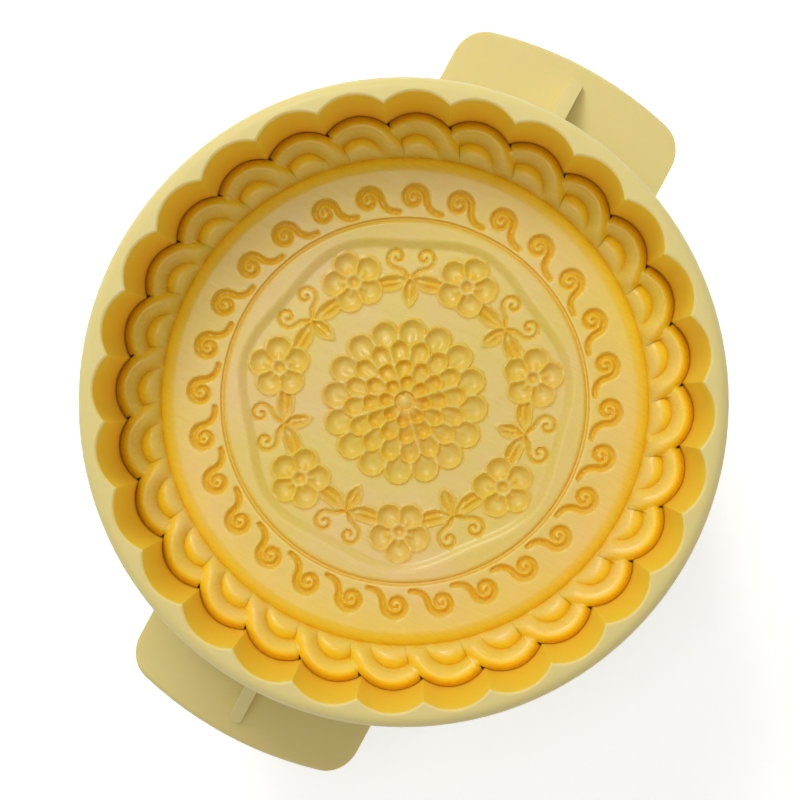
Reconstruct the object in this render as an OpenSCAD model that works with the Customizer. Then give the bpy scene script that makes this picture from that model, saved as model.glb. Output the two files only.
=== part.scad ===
// Hand press for one large round mooncake, standing on its palm handle with the mouth up.
// A sprung plunger carries a patterned stamp along a fluted barrel; two ears take the fingers.
// Millimetres, Z up along the barrel's axis, X through the ears, origin in the palm face.

/* [Mould cavity] */
// Number of flutes round the cake, and of scales round the stamp
flute_count = 28; // [24:1:34]
// Radius from the axis to the bottoms of the flutes
bore_r = 80; // [66:0.5:96]
// Radius of one flute's arc
flute_r = 12.2; // [10.2:0.1:14.6]
// Depth from the mouth to the edge of the stamp at rest
mould_depth = 35; // [29:1:42]

/* [Barrel] */
// Wall left outside the flute bottoms, at the lip
lip_w = 4; // [3.4:0.1:5]
// Height of the thicker lip at the mouth
lip_h = 9; // [7.5:0.5:11]
// Rounding of the lip's outer edge
lip_round = 3.4; // [2.5:0.1:3.4]
// How far the plain wall steps in behind the lip
lip_step = 1.2; // [0.8:0.1:1.4]
// How much narrower the barrel is at its closed end
barrel_draft = 0.8; // [0.4:0.1:1]
// Thickness of the closed end
end_wall_t = 5; // [4:0.5:6]
// Lead-in bevel round the mouth of the flutes
mouth_bevel = 0.5; // [0.3:0.1:0.6]

/* [Ears] */
// Reach of an ear past the lip
ear_reach = 26.5; // [22:0.5:32]
// Width of an ear
ear_w = 71.5; // [59:0.5:86]
// Thickness of an ear
ear_t = 5; // [4:0.5:6]
// Corner radius of an ear, seen from above
ear_corner = 11; // [9:0.5:13]
// Rounding of an ear's outer edge
ear_round = 2; // [1.5:0.1:2]
// Thickness of the rib on an ear
rib_t = 4; // [3:0.2:5]
// Height of that rib where it meets the barrel
rib_h = 24; // [18:1:30]
// Height of that rib at its outer end
rib_tip_h = 1.6; // [1:0.1:2.4]
// Bare ear beyond the rib's outer end
rib_inset = 5; // [4:0.5:7]

/* [Stamp] */
// Gap all round between the stamp or the plunger disc and the flutes
stamp_gap = 0.4; // [0.3:0.05:0.6]
// Width of the round shoulder that falls from the field into the valley round it
shoulder_w = 4; // [3.3:0.1:4.8]
// Fall of that shoulder
shoulder_h = 1.8; // [1.5:0.1:2.2]
// Thickness of the stamp under the field
stamp_web = 6.2; // [5.1:0.1:7.5]
// Rise of the scaled border from the valley to the edge
border_rise = 3; // [2.5:0.1:3.6]
// Width over which the scales run down into the valley
scale_foot_w = 4; // [3.3:0.1:4.8]
// Height of the round ridge along a scale's edge
ridge_h = 2.2; // [1.8:0.1:2.7]
// Width of that ridge
ridge_w = 5.8; // [4.8:0.1:6]
// Height of the dome in the middle of a scale
dome_h = 2.2; // [1.8:0.1:2.7]
// How far a scale tips up where it laps over the next one
scale_tip = 0.9; // [0.7:0.1:1.1]
// Radius of the air vents through the stamp
vent_r = 0.5; // [0.4:0.05:0.8]
// Number of pegs that hold the stamp on the plunger disc
peg_count = 4; // [3:1:6]
// Radius of a peg
peg_r = 4.5; // [3.5:0.1:5.5]
// Length of a peg
peg_l = 7; // [5:0.5:8]
// Distance of the pegs from the axis
peg_ring = 52; // [44:0.5:54]
// Gap between a peg and its socket
peg_gap = 0.15; // [0.1:0.05:0.3]

/* [Plunger] */
// Travel of the plunger
travel = 40; // [33:1:48]
// Height of the plunger disc
disc_h = 17; // [14:0.5:20.5]
// Thickness of the disc's face
disc_skin = 4; // [3.2:0.1:4.8]
// Thickness of the disc's skirt and ring walls
disc_wall = 2.4; // [2:0.1:3]
// Outside radius of the stem
stem_r = 18; // [15:0.2:21.6]
// Wall of the stem
stem_wall = 3; // [2.5:0.1:3.6]
// Gap between the stem and its guide
stem_gap = 0.3; // [0.2:0.05:0.5]
// How deep the stem sits in the disc
stem_seat = 10; // [8:0.5:11]

/* [Spring] */
// Wire diameter
wire_d = 3; // [2.5:0.1:3.6]
// Turns, end turns included
spring_turns = 6.5; // [5.5:0.5:7.5]
// Turns at each end wound flat
flat_turns = 0.9; // [0.8:0.1:1]
// Length left at full travel beyond the closed spring
spring_spare = 2.5; // [2:0.5:4]
// Gap between the coil and the guide collar inside it
coil_gap = 1.2; // [0.8:0.1:2]
// Thickness of the washers at the spring's ends
washer_t = 1; // [0.8:0.1:1.5]

/* [Guide and spring seat] */
// Wall of the guide collar
collar_wall = 3.2; // [2.6:0.1:4]
// Length of the guide collar outside the closed end
collar_h = 10; // [8:0.5:12]
// Height of the ring wall round the spring's seat
seat_wall_h = 6; // [5:0.5:7]
// Thickness of that ring wall
seat_wall_t = 3; // [2.4:0.1:4]
// Depth of the washer's recess in the closed end
seat_recess = 2; // [1.6:0.1:2.4]
// Number of stiffening ribs on the closed end
end_rib_count = 8; // [6:1:12]
// Thickness of those ribs
end_rib_t = 2.4; // [2:0.1:3]
// Height of those ribs at their outer ends
end_rib_lip = 1; // [0.6:0.1:1.5]

/* [Handle] */
// Wall of the hub ring that the stem sits in
hub_wall = 2.2; // [1.8:0.1:2.4]
// Radius of the palm handle
handle_r = 50; // [46:0.5:60]
// Height of the palm handle
handle_h = 26; // [23:0.5:31]
// Depth of the spring cup in the handle
cup_depth = 14; // [12:0.5:15]
// Wall of the neck round the spring cup
neck_wall = 4; // [3.2:0.1:5]
// Rounding of the palm edge
palm_round = 6; // [5:0.5:7]
// Rounding of the handle's shoulder
shoulder_round = 5; // [4:0.5:6]
// Radius of the cap in the palm face
cap_r = 30; // [26:0.5:34]
// Thickness of the cap
cap_t = 3; // [2.5:0.1:3.5]
// How far the cap sits below the palm face
cap_sink = 0.4; // [0.3:0.1:0.6]
// Height of the hub ring that the stem sits in
hub_h = 6; // [5:0.5:7]
// Thickness of the web that the screws clamp
web_t = 5; // [4:0.5:6]

/* [Fasteners] */
// Distance of the screws from the inside of the stem's wall
screw_inset = 4.6; // [3.8:0.1:5.5]
// Number of screws at each end of the stem
screw_count = 4; // [3:1:4]
// Radius of a screw's shank
screw_r = 1.7; // [1.4:0.1:2]
// Radius of a screw's head
head_r = 3.3; // [2.8:0.1:3.4]
// Height of a screw's head
head_h = 2.4; // [2:0.1:2.8]
// Length of a screw under its head
screw_l = 14; // [12:0.5:17]
// Radius of the washers under the handle screws
screw_washer_r = 3.8; // [3.4:0.1:4]
// Thickness of those washers
screw_washer_t = 0.8; // [0.6:0.1:1]

/* [Hidden] */
$fn = 96;

// Clearances between pieces that only rest on each other, and overshoot of cutting tools
rest_gap = 0.2;
fit_gap = 0.05;
past = 1;

// Radii across the barrel
flute_ring = bore_r - flute_r;
flute_step = 360 / flute_count;
cusp_r = flute_ring * cos(flute_step / 2)
       + sqrt(pow(flute_r, 2) - pow(flute_ring * sin(flute_step / 2), 2));
rim_r = bore_r + lip_w;
wall_r = rim_r - lip_step;
base_r = wall_r - barrel_draft;
ear_r = rim_r + ear_reach;
collar_r = stem_r + stem_gap + collar_wall;
coil_r = collar_r + coil_gap + wire_d / 2;
cup_r = coil_r + wire_d / 2 + coil_gap;
neck_r = cup_r + neck_wall;
hub_r = stem_r + stem_gap + hub_wall;
screw_ring = stem_r - stem_wall - screw_inset;
hub_step = 1.5;
cap_socket_r = hub_r + hub_step;
seat_r = cup_r + neck_wall / 2;
foot_r = flute_ring;
field_r = foot_r - shoulder_w;

// Heights from the palm face up to the mouth
cup_floor = handle_h - cup_depth;
web_floor = cup_floor - web_t;
spring_len = travel + (spring_turns + 0.5) * wire_d + spring_spare;
spring_z0 = cup_floor + washer_t + rest_gap;
spring_z1 = spring_z0 + spring_len;
end_z = spring_z1 + washer_t + rest_gap - seat_recess;
floor_z = end_z + end_wall_t;
disc_z0 = floor_z + rest_gap;
disc_z1 = disc_z0 + disc_h;
stem_z0 = cup_floor + fit_gap;
stem_z1 = disc_z0 + stem_seat - fit_gap;
stamp_z0 = disc_z1 + rest_gap;
field_z = stamp_z0 + stamp_web;
foot_z = field_z - shoulder_h;
edge_z = foot_z + border_rise;
mouth_z = edge_z + mould_depth;

// Air vents of the stamp, from the axis
vent_points = [[35.5, 26.5], [1.5, 44.5], [33.5, -1], [29, -38], [-26.5, 17], [-39, -11.5], [-10.5, -38.5]];

// The scaled border stands a hair inside the stamp's outline and reaches down into its body
border_inset = 0.1;
border_sink = 0.5;
scale_r = flute_r - stamp_gap - border_inset;
crest_r = scale_r - ridge_w / 2;
foot_ring = foot_r + border_inset;
scale_pitch = 2 * flute_ring * sin(flute_step / 2);
outline_steps = 8;
hair = 0.001;
ridge_steps = 5;

// Points along an arc about c, from angle a0 to angle a1
function arc(c, r, a0, a1, n = 8) =
    [for (i = [0:n]) let (a = a0 + (a1 - a0) * i / n) c + r * [cos(a), sin(a)]];

// ---------- Barrel ----------

// The fluted outline of the bore, or of what slides in it when gap is set
module fluted_plan(gap = 0) {
    circle((flute_ring + cusp_r) / 2);
    for (i = [0:flute_count - 1])
        rotate(i * flute_step)
            translate([flute_ring, 0]) circle(flute_r - gap);
}

// That outline as a prism between two heights
module fluted_prism(z0, z1, gap = 0) {
    translate([0, 0, z0])
        linear_extrude(z1 - z0) fluted_plan(gap);
}

// The bevel that widens each flute towards the mouth
module mouth_lead_in() {
    for (i = [0:flute_count - 1])
        rotate(i * flute_step)
            translate([flute_ring, 0, mouth_z - 2 * mouth_bevel])
                cylinder(h = 4 * mouth_bevel, r1 = flute_r - mouth_bevel, r2 = flute_r + 3 * mouth_bevel);
}

// The barrel's outside, from the closed end up to the rounded lip
module barrel_blank() {
    end_round = 2.5;
    rotate_extrude()
        polygon(concat(
            [[0, end_z]],
            arc([base_r - end_round, end_z + end_round], end_round, -90, 0),
            [[wall_r, mouth_z - lip_h - lip_step], [rim_r, mouth_z - lip_h]],
            arc([rim_r - lip_round, mouth_z - lip_round], lip_round, 0, 90),
            [[0, mouth_z]]));
}

// An ear's outline from above: straight sides and a round outer edge about the barrel's axis
module ear_plan() {
    corner_x = sqrt(pow(ear_r - ear_corner, 2) - pow(ear_w / 2 - ear_corner, 2));
    corner = [corner_x, ear_w / 2 - ear_corner];
    lean = atan2(corner[1], corner[0]);
    polygon(concat(
        [[cusp_r, -ear_w / 2]],
        arc([corner[0], -corner[1]], ear_corner, -90, -lean),
        arc([0, 0], ear_r, -lean, lean, 12),
        arc(corner, ear_corner, lean, 90),
        [[cusp_r, ear_w / 2]]));
}

// One ear, flush with the closed end, with the rib that ties it to the barrel
module ear() {
    ear_top = end_z + ear_t;
    rib_end = ear_r - rib_inset;
    rib_root = base_r - lip_step;
    intersection() {
        translate([0, 0, end_z - past])
            linear_extrude(ear_t + 2 * past) ear_plan();
        rotate_extrude()
            polygon(concat(
                [[cusp_r, end_z]],
                arc([ear_r - ear_round, end_z + ear_round], ear_round, -90, 0),
                arc([ear_r - ear_round, ear_top - ear_round], ear_round, 0, 90),
                [[cusp_r, ear_top]]));
    }
    intersection() {
        rotate([90, 0, 0])
            linear_extrude(rib_t, center = true)
                polygon([[rib_root, end_z + past], [rib_root, ear_top + rib_h], [base_r, ear_top + rib_h],
                         [rib_end, ear_top + rib_tip_h], [rib_end, end_z + past]]);
        translate([0, 0, end_z])
            linear_extrude(rib_h + 2 * ear_t) {
                translate([0, -rib_t / 2]) square([rib_end - rib_t / 2, rib_t]);
                translate([rib_end - rib_t / 2, 0]) circle(rib_t / 2);
            }
    }
}

// What stands out of the closed end: stem guide, ring round the spring's seat, and radial ribs
module end_fittings() {
    rib_z = end_z - seat_wall_h;
    rib_in = seat_r + seat_wall_t / 2;
    rib_out = base_r - seat_wall_h;
    translate([0, 0, end_z - collar_h])
        cylinder(h = collar_h + past, r = collar_r);
    translate([0, 0, end_z - seat_wall_h])
        difference() {
            cylinder(h = seat_wall_h + past, r = seat_r + seat_wall_t);
            translate([0, 0, -past]) cylinder(h = seat_wall_h + past, r = seat_r);
        }
    for (i = [0:end_rib_count - 1])
        rotate((i + 0.5) * 360 / end_rib_count)
            rotate([90, 0, 0])
                linear_extrude(end_rib_t, center = true)
                    polygon([[rib_in, end_z + past], [rib_in, rib_z + end_rib_lip],
                             [rib_out - past, end_z - end_rib_lip], [rib_out + past, end_z + past]]);
}

module barrel() color("#e0d28c") {
    difference() {
        union() {
            barrel_blank();
            ear();
            rotate(180) ear();
            end_fittings();
        }
        fluted_prism(floor_z, mouth_z + past);
        mouth_lead_in();
        translate([0, 0, end_z - collar_h - past])
            cylinder(h = collar_h + end_wall_t + 2 * past, r = stem_r + stem_gap);
        translate([0, 0, end_z - collar_h - past])
            difference() {
                cylinder(h = collar_h + past + seat_recess, r = cup_r + fit_gap);
                cylinder(h = collar_h + past + seat_recess, r = collar_r);
            }
    }
}

// ---------- Stamp ----------

// A scale is worked out about its own middle, X outwards: a point there is a ring and a turn.
// Turn at which a ring of radius d crosses the foot circle
function foot_turn(d) = acos((pow(foot_ring, 2) - pow(flute_ring, 2) - pow(d, 2)) / (2 * flute_ring * d));

// Turn at which a ring of radius d runs in under the edge of the next scale anticlockwise
function lap_turn(d) =
    90 + flute_step / 2 - acos((pow(d, 2) + pow(scale_pitch, 2) - pow(scale_r, 2)) / (2 * d * scale_pitch));

// Turn at which the edge of a scale crosses a ring of radius d of the next scale clockwise
function leg_turn(d) =
    acos((pow(scale_r, 2) + pow(scale_pitch, 2) - pow(d, 2)) / (2 * scale_r * scale_pitch))
    - 90 - flute_step / 2;

// Point of scale k on a ring of radius d, as radius and angle about the barrel's axis
function scale_point(k, d, turn) =
    let (x = flute_ring + d * cos(turn), y = d * sin(turn))
    [norm([x, y]), atan2(y, x) + k * flute_step];

// Distance from a point on the border to the middle of scale k
function to_scale(r, a, k) = norm([r * cos(a - k * flute_step) - flute_ring, r * sin(a - k * flute_step)]);

// Height of a scale by the distance d from its middle: a dome inside a round ridge
function scale_h(d) =
    let (ridge = 1 - pow((d - crest_r) / (ridge_w / 2), 2), dome = 1 - pow(d / (scale_r - ridge_w), 3))
    ridge > 0 ? ridge_h * ridge : max(dome_h * dome, 0);

// Height of scale k at a point, tipped up on its clockwise side
function scale_z(r, a, k) = scale_h(to_scale(r, a, k)) - scale_tip * sin(a - k * flute_step) * r / scale_r;

// Height of the border's face at a point: each scale laps over the next one clockwise, and all
// of them run down into the valley round the field
function border_z(r, a) =
    let (k = ceil(a / flute_step - hair),
         d = to_scale(r, a, k),
         over = scale_z(r, a, k),
         under = scale_z(r, a, k - 1),
         face = d < crest_r ? over : d < scale_r + hair ? max(over, under) : under,
         out = min((r - foot_r) / scale_foot_w, 1))
    foot_z + border_rise * (r - foot_r) / (bore_r - foot_r) + face * (1 - pow(1 - out, 2));

// The scaled border as a ring. Its mesh follows each scale's own rings, which meet the next
// scale's edge point for point, so ridges, domes and laps come out crisp.
module scaled_border() {
    // Foot of the next scale's leg, and its distance from this scale's middle
    leg_foot = scale_point(1, scale_r, -foot_turn(scale_r));
    corner = to_scale(leg_foot[0], leg_foot[1], 0);
    groove = max(scale_r - ridge_w, corner + 0.15 * (scale_r - corner));
    rings = concat([corner / 2, corner, (corner + groove) / 2, groove],
        [for (i = [1:ridge_steps]) groove + (scale_r - groove) * (1 - cos(180 * i / ridge_steps)) / 2]);
    last = len(rings) - 1;
    cusp_turn = leg_turn(scale_r);
    turns = concat([for (j = [1:last]) leg_turn(rings[j])],
        [for (i = [1:outline_steps]) cusp_turn * (1 - 2 * i / outline_steps)]);
    cols = len(turns) - 1;
    // Points of scale k: its first ring whole, and of the others all but the end
    points_each = cols + 1 + last * cols;
    function place(k, j, i) =
        let (d = rings[j],
             share = (turns[i] - turns[0]) / (turns[cols] - turns[0]),
             end = j <= 1 ? foot_turn(d) : lap_turn(d))
        scale_point(k, d, -foot_turn(d) + share * (end + foot_turn(d)));
    // Number of a point: a ring ends on the edge of the next scale
    function id(k, j, i) =
        i == cols && j > 0 ? id(k + 1, last, j - 1)
        : (k % flute_count) * points_each + (j == 0 ? i : cols + 1 + (j - 1) * cols + i);
    function foot_ids(k) = concat([for (j = [last:-1:0]) id(k, j, 0)], [id(k, 0, cols)]);
    function edge_ids(k) = [for (i = [last - 1:cols - 1]) id(k, last, i)];
    top = [for (k = [0:flute_count - 1]) each concat(
        [for (i = [0:cols]) place(k, 0, i)],
        [for (j = [1:last]) for (i = [0:cols - 1]) place(k, j, i)])];
    foot = [for (k = [0:flute_count - 1]) each foot_ids(k)];
    edge = [for (k = [0:flute_count - 1]) each edge_ids(k)];
    foot_n = len(foot);
    edge_n = len(edge);
    foot_0 = len(top);
    edge_0 = foot_0 + foot_n;
    feet = foot_n / flute_count;
    edges = edge_n / flute_count;
    base = foot_z - border_sink;
    polyhedron(
        points = concat(
            [for (p = top) [p[0] * cos(p[1]), p[0] * sin(p[1]), border_z(p[0], p[1])]],
            [for (v = concat(foot, edge)) [top[v][0] * cos(top[v][1]), top[v][0] * sin(top[v][1]), base]]),
        faces = concat(
            [for (k = [0:flute_count - 1]) for (j = [0:last - 1]) for (i = [0:cols - 1])
                each [[id(k, j, i), id(k, j, i + 1), id(k, j + 1, i + 1)],
                      [id(k, j, i), id(k, j + 1, i + 1), id(k, j + 1, i)]]],
            [for (k = [0:flute_count - 1]) for (i = [1:cols - 1])
                [id(k, 0, 0), id(k, 0, i + 1), id(k, 0, i)]],
            [for (m = [0:foot_n - 1]) let (n = (m + 1) % foot_n)
                each [[foot[m], foot_0 + m, foot_0 + n], [foot[m], foot_0 + n, foot[n]]]],
            [for (m = [0:edge_n - 1]) let (n = (m + 1) % edge_n)
                each [[edge[m], edge[n], edge_0 + n], [edge[m], edge_0 + n, edge_0 + m]]],
            [for (k = [0:flute_count - 1]) for (m = [0:feet - 1])
                let (a = k * feet + m,
                     b = (a + 1) % foot_n,
                     c = (k * edges + min(m, edges)) % edge_n,
                     d = (k * edges + min(m + 1, edges)) % edge_n)
                each m < edges
                    ? [[foot_0 + a, edge_0 + c, edge_0 + d], [foot_0 + a, edge_0 + d, foot_0 + b]]
                    : [[foot_0 + a, edge_0 + c, foot_0 + b]]]));
}

// The flat field with its round shoulder, standing on the fluted plate
module field_boss() {
    steps = 8;
    rotate_extrude()
        polygon(concat(
            [[0, foot_z - past], [foot_r, foot_z - past]],
            [for (i = [steps:-1:0]) let (a = 90 * i / steps)
                [field_r + shoulder_w * sin(a), foot_z + shoulder_h * cos(a)]],
            [[0, field_z]]));
}

// The pegs on the stamp's back, or their sockets when gap is set
module pegs(gap = 0) {
    for (i = [0:peg_count - 1])
        rotate((i + 0.5) * 360 / peg_count)
            translate([peg_ring, 0, stamp_z0 - peg_l - gap])
                cylinder(h = peg_l + gap + past, r = peg_r + gap);
}

module stamp_plate() color("#ecc25a") {
    difference() {
        union() {
            fluted_prism(stamp_z0, foot_z, stamp_gap);
            field_boss();
            pegs();
        }
        for (p = vent_points)
            translate([p[0], p[1], stamp_z0 - past]) cylinder(h = stamp_web + 2 * past, r = vent_r);
    }
    scaled_border();
}

// ---------- Plunger ----------

// The ribs under the plunger disc: one at each cusp outside the middle ring, every other one inside it
module disc_ribs(ring_r, h) {
    for (i = [0:flute_count - 1])
        rotate((i + 0.5) * flute_step)
            translate([ring_r, -disc_wall / 2, 0])
                cube([cusp_r - disc_wall - ring_r, disc_wall, h]);
    for (i = [0:flute_count / 2 - 1])
        rotate((2 * i + 0.5) * flute_step)
            translate([hub_r, -disc_wall / 2, 0])
                cube([ring_r - hub_r, disc_wall, h]);
}

module plunger_disc() color("#dccb86") {
    skirt_in = cusp_r - stamp_gap - disc_wall;
    socket_wall = 2.5;
    cored_h = disc_h - disc_skin;
    difference() {
        fluted_prism(disc_z0, disc_z1, stamp_gap);
        difference() {
            translate([0, 0, disc_z0 - past]) cylinder(h = cored_h + past, r = skirt_in);
            translate([0, 0, disc_z0]) {
                disc_ribs(peg_ring, cored_h + past);
                cylinder(h = cored_h + past, r = stem_r + fit_gap + disc_wall);
                difference() {
                    cylinder(h = cored_h + past, r = peg_ring + disc_wall / 2);
                    translate([0, 0, -past])
                        cylinder(h = cored_h + 3 * past, r = peg_ring - disc_wall / 2);
                }
            }
            for (i = [0:peg_count - 1])
                rotate((i + 0.5) * 360 / peg_count)
                    translate([peg_ring, 0, disc_z0])
                        cylinder(h = cored_h + past, r = peg_r + socket_wall);
        }
        pegs(peg_gap);
        translate([0, 0, disc_z0 - past]) cylinder(h = stem_seat + past, r = stem_r + fit_gap);
        on_screw_ring() {
            translate([0, 0, disc_z0]) cylinder(h = disc_h + past, r = screw_r + fit_gap);
            translate([0, 0, disc_z1 - head_h - rest_gap]) cylinder(h = head_h + past, r = head_r + rest_gap);
        }
    }
}

// What repeats round the stem's axis at each screw
module on_screw_ring() {
    for (i = [0:screw_count - 1])
        rotate(i * 360 / screw_count)
            translate([screw_ring, 0, 0]) children();
}

module plunger_stem() color("#dccb86") {
    boss_r = screw_r + 2;
    web = 2;
    translate([0, 0, stem_z0])
        linear_extrude(stem_z1 - stem_z0)
            difference() {
                union() {
                    difference() {
                        circle(stem_r);
                        circle(stem_r - stem_wall);
                    }
                    for (i = [0:screw_count - 1])
                        rotate(i * 360 / screw_count) {
                            translate([screw_ring, 0]) circle(boss_r);
                            translate([0, -web / 2]) square([stem_r - stem_wall / 2, web]);
                        }
                }
                for (i = [0:screw_count - 1])
                    rotate(i * 360 / screw_count)
                        translate([screw_ring, 0]) circle(screw_r + fit_gap);
            }
}

// A pan-head screw with a cross recess, its head down at z = 0 and its shank up
module screw() {
    cross_w = 0.9;
    cross_l = head_r * 1.1;
    head_round = 1;
    tip_l = 1.5;
    tip_r = 0.6;
    cross_depth = head_h * 0.6;
    difference() {
        rotate_extrude()
            polygon(concat([[0, 0]],
                arc([head_r - head_round, head_round], head_round, -90, 0, 6),
                [[head_r, head_h], [screw_r, head_h], [screw_r, head_h + screw_l - tip_l],
                 [tip_r, head_h + screw_l], [0, head_h + screw_l]]));
        for (a = [0, 90])
            rotate(a) translate([-cross_l / 2, -cross_w / 2, -past])
                cube([cross_l, cross_w, past + cross_depth]);
    }
}

module disc_screws() color("#b9bcc0") {
    on_screw_ring()
        translate([0, 0, disc_z1 - rest_gap + fit_gap])
            mirror([0, 0, 1]) screw();
}

// ---------- Spring ----------

// The coil's rise at turn t: the end turns climb one wire and a hair, the rest climb evenly
function coil_rise(t) =
    let (end_climb = wire_d + 0.5,
         flat_h = flat_turns * end_climb,
         body = spring_turns - 2 * flat_turns,
         free = spring_len - wire_d - 2 * flat_h)
    t < flat_turns ? t * end_climb
    : t > spring_turns - flat_turns ? spring_len - wire_d - (spring_turns - t) * end_climb
    : flat_h + free * (t - flat_turns) / body;

function coil_point(t) =
    [coil_r * cos(360 * t), coil_r * sin(360 * t), spring_z0 + wire_d / 2 + coil_rise(t)];

module return_spring() color("#c3c6c9") {
    rings_a_turn = 24;
    sides = 6;
    rings = round(spring_turns * rings_a_turn);
    tube_r = wire_d / 2 - fit_gap;
    centres = [for (i = [0:rings]) coil_point(i / rings_a_turn)];
    gaps = [for (i = [0:rings - rings_a_turn / 2]) for (j = [i + rings_a_turn / 2:rings])
        norm(centres[i] - centres[j]) - wire_d];
    echo(str("least gap of the spring to itself: ", min(gaps), " mm"));
    points = [for (i = [0:rings]) for (s = [0:sides - 1])
        let (a = 360 * i / rings_a_turn, b = 360 * s / sides)
        centres[i] + tube_r / cos(180 / sides) * [cos(b) * cos(a), cos(b) * sin(a), sin(b)]];
    polyhedron(
        points = points,
        faces = concat(
            [[for (s = [0:sides - 1]) s]],
            [for (i = [0:rings - 1]) for (s = [0:sides - 1]) let (n = (s + 1) % sides)
                each [[i * sides + s, (i + 1) * sides + s, (i + 1) * sides + n],
                      [i * sides + s, (i + 1) * sides + n, i * sides + n]]],
            [[for (s = [sides - 1:-1:0]) rings * sides + s]]));
}

// A flat ring under one end of the spring
module spring_washer(z0) {
    hole_r = coil_r - wire_d / 2 - coil_gap / 2;
    translate([0, 0, z0])
        difference() {
            cylinder(h = washer_t, r = cup_r - rest_gap);
            translate([0, 0, -past]) cylinder(h = washer_t + 2 * past, r = hole_r);
        }
}

module spring_washer_barrel() color("#c3c6c9") spring_washer(spring_z1 + rest_gap / 2);

module spring_washer_handle() color("#c3c6c9") spring_washer(cup_floor + rest_gap / 2);

// ---------- Handle ----------

module handle_body() color("#e0d28c") {
    shoulder_z = cup_floor + 2;
    shoulder_fall = 14;
    neck_blend = 4;
    blend_lift = 6.4;
    lip = 1;
    difference() {
        rotate_extrude()
            polygon(concat(
                [[0, 0]],
                arc([handle_r - palm_round, palm_round], palm_round, -90, 0),
                arc([handle_r - shoulder_round, shoulder_z - shoulder_round], shoulder_round,
                    0, 90 - shoulder_fall),
                arc([neck_r + neck_blend, shoulder_z + blend_lift], neck_blend, -90 - shoulder_fall, -180),
                arc([neck_r - lip, handle_h - lip], lip, 0, 90, 4),
                [[0, handle_h]]));
        difference() {
            translate([0, 0, cup_floor]) cylinder(h = cup_depth + past, r = cup_r);
            translate([0, 0, cup_floor - past]) cylinder(h = hub_h + past, r = hub_r);
        }
        translate([0, 0, cup_floor]) cylinder(h = cup_depth, r = stem_r + fit_gap);
        translate([0, 0, -past]) {
            cylinder(h = past + cap_t + cap_sink + fit_gap, r = cap_r + rest_gap);
            cylinder(h = past + web_floor, r = cap_socket_r);
        }
        on_screw_ring() cylinder(h = handle_h, r = screw_r + fit_gap);
    }
}

// The cap that hides the handle screws, with a snap ring on its inside
module handle_cap() color("#e0d28c") {
    ring_r = cap_socket_r - rest_gap;
    ring_wall = 1.8;
    ring_h = web_floor - cap_sink - cap_t - rest_gap;
    slot_w = 3;
    edge = 0.6;
    cap_top = cap_sink + cap_t;
    difference() {
        union() {
            rotate_extrude()
                polygon([[0, cap_sink], [cap_r - edge, cap_sink], [cap_r, cap_sink + edge],
                         [cap_r, cap_top], [0, cap_top]]);
            translate([0, 0, cap_top - fit_gap]) cylinder(h = ring_h, r = ring_r);
        }
        translate([0, 0, cap_top]) cylinder(h = ring_h, r = ring_r - ring_wall);
        for (a = [45:90:315])
            rotate(a) translate([0, -slot_w / 2, cap_top]) cube([ring_r + past, slot_w, ring_h]);
    }
}

module handle_screws() color("#b9bcc0") {
    on_screw_ring()
        translate([0, 0, web_floor - screw_washer_t - head_h - 2 * fit_gap]) screw();
}

module handle_screw_washers() color("#b9bcc0") {
    on_screw_ring()
        translate([0, 0, web_floor - screw_washer_t - fit_gap])
            difference() {
                cylinder(h = screw_washer_t, r = screw_washer_r);
                translate([0, 0, -past]) cylinder(h = screw_washer_t + 2 * past, r = screw_r + fit_gap);
            }
}

barrel();
stamp_plate();
plunger_disc();
plunger_stem();
disc_screws();
return_spring();
spring_washer_barrel();
spring_washer_handle();
handle_body();
handle_cap();
handle_screws();
handle_screw_washers();
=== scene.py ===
"""Looks of a hand press for one large round mooncake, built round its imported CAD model."""

import logging
import math
from dataclasses import dataclass, field
from enum import Enum

import bpy
import numpy as np
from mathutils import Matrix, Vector

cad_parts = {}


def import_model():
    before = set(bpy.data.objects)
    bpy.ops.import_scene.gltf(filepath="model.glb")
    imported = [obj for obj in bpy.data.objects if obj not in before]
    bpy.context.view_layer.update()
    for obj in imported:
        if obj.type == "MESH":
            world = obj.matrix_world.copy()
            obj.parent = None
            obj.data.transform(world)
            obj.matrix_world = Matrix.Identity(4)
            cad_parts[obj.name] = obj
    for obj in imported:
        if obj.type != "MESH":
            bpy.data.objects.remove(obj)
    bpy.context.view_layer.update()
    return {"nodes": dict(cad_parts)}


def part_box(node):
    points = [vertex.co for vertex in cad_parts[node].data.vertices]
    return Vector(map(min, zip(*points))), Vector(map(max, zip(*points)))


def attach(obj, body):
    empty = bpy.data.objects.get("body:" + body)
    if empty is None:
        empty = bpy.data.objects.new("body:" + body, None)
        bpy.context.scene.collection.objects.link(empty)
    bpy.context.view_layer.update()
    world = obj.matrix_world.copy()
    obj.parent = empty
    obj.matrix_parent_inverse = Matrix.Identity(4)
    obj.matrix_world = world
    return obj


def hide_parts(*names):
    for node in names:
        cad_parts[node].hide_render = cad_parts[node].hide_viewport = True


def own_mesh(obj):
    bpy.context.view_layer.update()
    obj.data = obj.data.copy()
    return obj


MM = 0.001
TURN = 2 * math.pi
# Most of a noise pattern's values lie between these
NOISE_LOW, NOISE_HIGH = 0.3, 0.7
LOG = logging.getLogger("mooncake_press")

Socket = bpy.types.NodeSocket
Tree = bpy.types.NodeTree
Nodes = dict[str, bpy.types.Object]


class Body(Enum):
    """Bodies on which the pieces made here ride."""

    BARREL = "barrel"
    STAMP = "stamp"


class Slot(Enum):
    """The record's material slots of the pieces made here."""

    STAMP = "stamp_plastic"
    SPRING = "spring_steel"


# ---------- Colours and nodes ----------


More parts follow.
